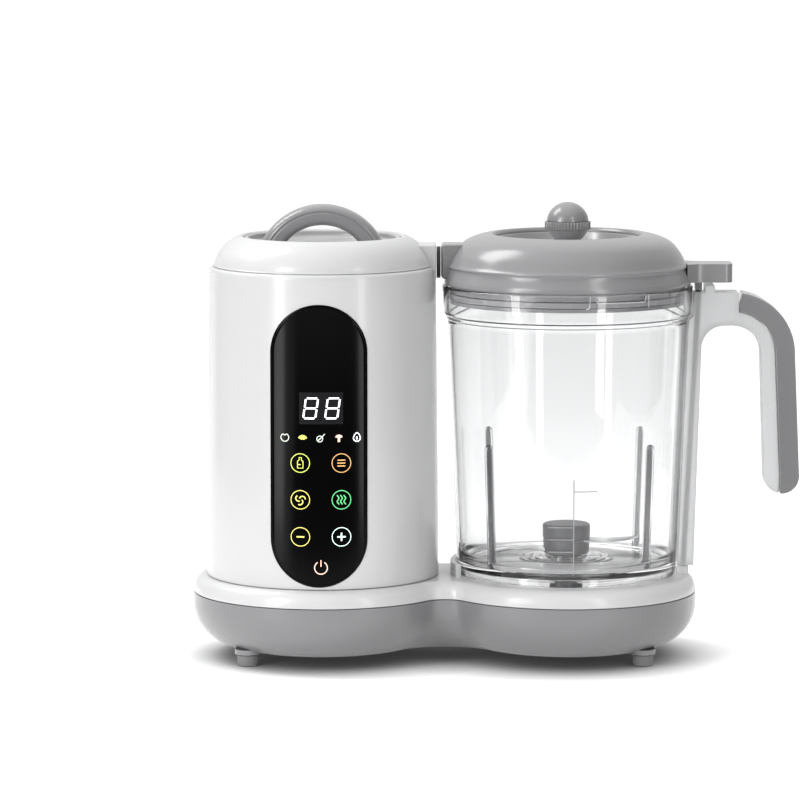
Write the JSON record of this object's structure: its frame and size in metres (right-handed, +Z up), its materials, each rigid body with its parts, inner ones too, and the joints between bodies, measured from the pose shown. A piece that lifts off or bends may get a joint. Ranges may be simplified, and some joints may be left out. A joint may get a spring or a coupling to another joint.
{
  "type": "baby food maker",
  "caption": "Countertop baby food maker: a white steam column with a touch panel beside a clear lidded blending jug on a shared two-lobed base.",
  "frame": {"origin": "middle of the footprint on the surface that the feet stand on", "axes": "+X from the steam column to the jug's handle, +Y to the back, +Z up"},
  "size_m": [0.315, 0.2509, 0.2368],
  "materials": {
    "white_shell": "smooth glossy white moulding",
    "grey_shell": "semi-gloss mid grey moulding",
    "clear_plastic": "clear thick-walled plastic",
    "frosted_plastic": "frosted translucent plastic",
    "black_plastic": "black moulding, fine matt texture",
    "black_gloss": "glossy black control lens",
    "dark_nylon": "dark grey nylon",
    "steel": "brushed stainless steel",
    "bronze": "sintered bronze",
    "silicone": "translucent white silicone",
    "rubber": "dark rubber",
    "board": "green circuit board"
  },
  "bodies": {
    "base_unit": {"base_bottom_shell": "grey_shell", "base_deck": "white_shell", "foot_front_left": "rubber", "foot_front_right": "rubber", "foot_rear_left": "rubber", "foot_rear_right": "rubber", "base_screw_1": "steel", "base_screw_2": "steel", "base_screw_3": "steel", "base_screw_4": "steel", "column_shell": "white_shell", "column_cap": "white_shell", "control_lens": "black_gloss", "control_board": "board", "display_module": "black_plastic", "water_tank": "clear_plastic", "boiler_cup": "steel", "boiler_heater": "steel", "steam_pipe": "silicone", "steam_outlet": "white_shell", "steam_gasket": "rubber", "motor_can": "steel", "motor_bracket": "steel", "motor_bearing_lower": "bronze", "drive_belt": "rubber", "spindle_bearing": "bronze", "spindle_foot_bearing": "bronze", "micro_switch": "black_plastic", "cord_gland": "black_plastic", "cord_lead": "black_plastic", "cord_coil": "black_plastic", "cord_tail": "black_plastic", "plug_body": "black_plastic"},
    "motor_shaft": {"motor_rotor": "steel", "motor_pulley": "dark_nylon"},
    "spindle": {"drive_spindle": "steel", "driven_pulley": "dark_nylon", "drive_dog": "dark_nylon"},
    "tank_stopper": {"tank_plug": "grey_shell", "tank_plug_seal": "silicone"},
    "tank_handle": {"tank_knob": "grey_shell"},
    "jug": {"jug_body": "clear_plastic", "jug_handle": "frosted_plastic", "handle_grip": "grey_shell", "blade_bush": "bronze"},
    "interlock": {"interlock_rod": "dark_nylon"},
    "plunger": {"switch_plunger": "dark_nylon"},
    "blade": {"blade_hub": "dark_nylon", "blade_lower": "steel", "blade_upper": "steel", "blade_shaft": "steel", "blade_dog": "dark_nylon"},
    "lid_ring": {"lid_seal": "silicone"},
    "lid": {"lid_dome": "grey_shell", "lid_disc": "grey_shell"},
    "vent_knob": {"knob_ball": "grey_shell", "knob_ring": "grey_shell", "vent_shutter": "grey_shell"}
  },
  "joints": [
    {"name": "motor_spin", "type": "hinge", "parent": "base_unit", "child": "motor_shaft", "pos_m": [-0.08995, 0, 0], "axis": [0, 0, 1], "continuous": true},
    {"name": "spindle_spin", "type": "hinge", "parent": "base_unit", "child": "spindle", "pos_m": [0.03705, 0, 0], "axis": [0, 0, 1], "continuous": true},
    {"name": "tank_lid_lift", "type": "slide", "parent": "base_unit", "child": "tank_stopper", "axis": [0, 0, 1], "range_m": [0, 0.06]},
    {"name": "tank_knob_turn", "type": "hinge", "parent": "tank_stopper", "child": "tank_handle", "pos_m": [-0.08995, 0, 0], "axis": [0, 0, 1], "range_deg": [0, 90]},
    {"name": "jug_lift", "type": "slide", "parent": "base_unit", "child": "jug", "axis": [0, 0, 1], "range_m": [0, 0.1]},
    {"name": "blade_spin", "type": "hinge", "parent": "jug", "child": "blade", "pos_m": [0.03705, 0, 0], "axis": [0, 0, 1], "continuous": true},
    {"name": "lid_lift", "type": "slide", "parent": "jug", "child": "lid_ring", "axis": [0, 0, 1], "range_m": [0, 0.08]},
    {"name": "lid_turn", "type": "hinge", "parent": "lid_ring", "child": "lid", "pos_m": [0.03705, 0, 0], "axis": [0, 0, 1], "range_deg": [0, 30]},
    {"name": "vent_turn", "type": "hinge", "parent": "lid", "child": "vent_knob", "pos_m": [0.03705, 0, 0], "axis": [0, 0, 1], "range_deg": [0, 60]},
    {"name": "rod_rise", "type": "slide", "parent": "jug", "child": "interlock", "axis": [0.0498, 0, 0.9988], "range_m": [0, 0.003]},
    {"name": "plunger_rise", "type": "slide", "parent": "base_unit", "child": "plunger", "axis": [0, 0, 1], "range_m": [0, 0.003]}
  ],
  "couplings": [
    {"joint": "spindle_spin", "follows": "motor_spin", "ratio": 0.28571},
    {"joint": "blade_spin", "follows": "motor_spin", "ratio": 0.28571},
    {"joint": "rod_rise", "follows": "lid_turn", "m_per_rad": 0.00554},
    {"joint": "plunger_rise", "follows": "lid_turn", "m_per_rad": 0.00554}
  ]
}
